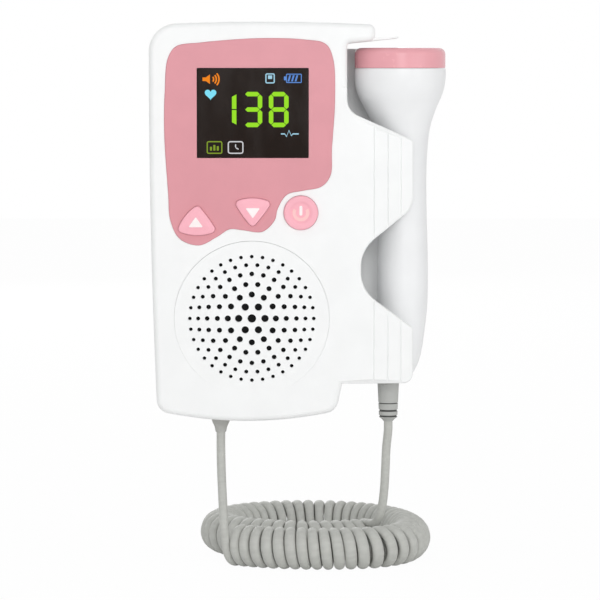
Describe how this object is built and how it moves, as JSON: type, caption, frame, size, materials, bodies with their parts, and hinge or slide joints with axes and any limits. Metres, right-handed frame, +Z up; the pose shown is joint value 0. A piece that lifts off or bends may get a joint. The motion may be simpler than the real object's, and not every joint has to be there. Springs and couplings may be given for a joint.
{
  "type": "fetal doppler monitor",
  "caption": "Handheld fetal doppler with a color display, pink face panel, three buttons, speaker, docked ultrasound probe and curly cord.",
  "frame": {"origin": "point on the flat back of the case, midway across the case's upper part and just above the battery cover", "axes": "+Z up along the case, +X to the right seen from the front, front faces -Y, +Y out of the back"},
  "size_m": [0.1006, 0.0831, 0.186],
  "materials": {
    "white_shell": "satin",
    "pink_panel": "semi-gloss",
    "pink_key": "satin",
    "window_black": "gloss",
    "grey_rubber": "matte",
    "cord_grey": "satin",
    "circuit_board": "satin",
    "bright_metal": "satin",
    "black_plastic": "matte",
    "cell_sleeve": "gloss",
    "lens_rubber": "satin"
  },
  "bodies": {
    "body": {"front_housing": "white_shell", "rear_housing": "white_shell", "face_panel": "pink_panel", "display_window": "window_black", "display_module": "bright_metal", "up_switch": "black_plastic", "down_switch": "black_plastic", "power_switch": "black_plastic", "main_board": "circuit_board", "speaker_grille": "white_shell", "speaker_basket": "bright_metal", "speaker_cone": "black_plastic", "speaker_magnet": "bright_metal", "battery_cell_1": "cell_sleeve", "battery_cell_2": "cell_sleeve", "battery_contact_top": "bright_metal", "battery_contact_bottom": "bright_metal", "case_screw_1": "bright_metal", "case_screw_2": "bright_metal", "case_screw_3": "bright_metal", "case_screw_4": "bright_metal", "cord_boot": "grey_rubber", "cord_left_lead": "cord_grey", "cord_coil": "cord_grey", "cord_right_lead": "cord_grey"},
    "up_key": {"up_button": "pink_key"},
    "down_key": {"down_button": "pink_key"},
    "power_key": {"power_button": "pink_key"},
    "cover": {"battery_cover": "white_shell"},
    "probe": {"probe_shell": "white_shell", "probe_band": "pink_panel", "probe_lens": "lens_rubber", "transducer_crystal": "bright_metal", "transducer_backing": "black_plastic", "probe_board": "circuit_board", "probe_strain_relief": "grey_rubber"}
  },
  "joints": [
    {"name": "up_press", "type": "slide", "parent": "body", "child": "up_key", "axis": [0, 1, 0], "range_m": [0, 0.0008], "stiffness_N_per_m": 400},
    {"name": "down_press", "type": "slide", "parent": "body", "child": "down_key", "axis": [0, 1, 0], "range_m": [0, 0.0008], "stiffness_N_per_m": 400},
    {"name": "power_press", "type": "slide", "parent": "body", "child": "power_key", "axis": [0, 1, 0], "range_m": [0, 0.0008], "stiffness_N_per_m": 400},
    {"name": "probe_pull", "type": "slide", "parent": "body", "child": "probe", "axis": [1, 0, 0], "range_m": [0, 0.04]},
    {"name": "cover_slide", "type": "slide", "parent": "body", "child": "cover", "axis": [0, 0, -1], "range_m": [0, 0.012]}
  ]
}
